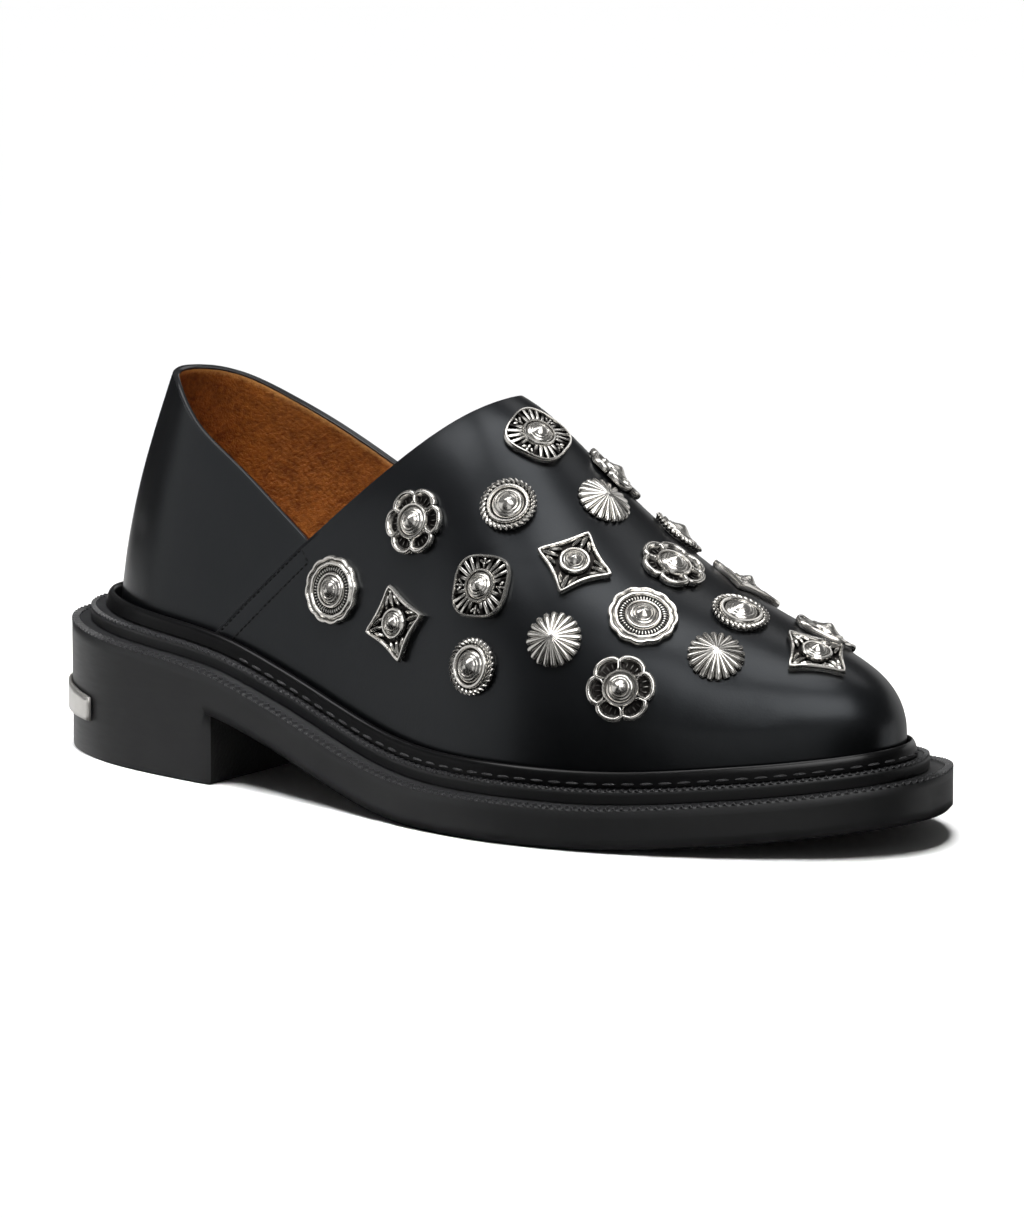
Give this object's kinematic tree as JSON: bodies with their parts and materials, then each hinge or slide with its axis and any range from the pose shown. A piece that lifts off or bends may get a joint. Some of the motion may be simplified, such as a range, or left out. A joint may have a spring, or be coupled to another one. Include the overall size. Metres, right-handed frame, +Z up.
{
  "type": "loafer",
  "caption": "Right slip-on loafer: hollow leather upper with a high vamp and notched sides, cast metal studs, raised welt lip, double sole and low block heel.",
  "frame": {"origin": "middle of the shoe's bounding box, on the ground", "axes": "+X to the toe, +Y to the inner side of the foot, +Z up"},
  "size_m": [0.2826, 0.1064, 0.11],
  "materials": {
    "outsole_rubber": "black, satin dressed edge",
    "heel_rubber": "black, satin dressed edge",
    "midsole_leather": "black, satin dressed edge",
    "welt_leather": "black, satin",
    "insole_leather": "tan, matt",
    "upper_leather": "black smooth calf, satin, lined with tan suede",
    "heel_plate_metal": "polished silver colour",
    "stud_metal": "cast, antique silver colour with dark recesses"
  },
  "bodies": {
    "root": {"outsole": "outsole_rubber", "heel": "heel_rubber", "midsole": "midsole_leather", "storm_welt": "welt_leather", "insole": "insole_leather", "upper": "upper_leather", "heel_plate": "heel_plate_metal", "stud_01_ray": "stud_metal", "stud_02_rope": "stud_metal", "stud_03_flower": "stud_metal", "stud_04_scallop": "stud_metal", "stud_05_star": "stud_metal", "stud_06_ray": "stud_metal", "stud_07_rope": "stud_metal", "stud_08_rosette": "stud_metal", "stud_09_star": "stud_metal", "stud_10_rosette": "stud_metal", "stud_11_flower": "stud_metal", "stud_12_scallop": "stud_metal", "stud_13_flower": "stud_metal", "stud_14_rosette": "stud_metal", "stud_15_rope": "stud_metal", "stud_16_star": "stud_metal", "stud_17_flower": "stud_metal", "stud_18_rope": "stud_metal", "stud_19_star": "stud_metal", "stud_20_ray": "stud_metal", "stud_21_rope": "stud_metal", "stud_22_star": "stud_metal", "stud_23_scallop": "stud_metal", "stud_24_rosette": "stud_metal"}
  },
  "joints": []
}
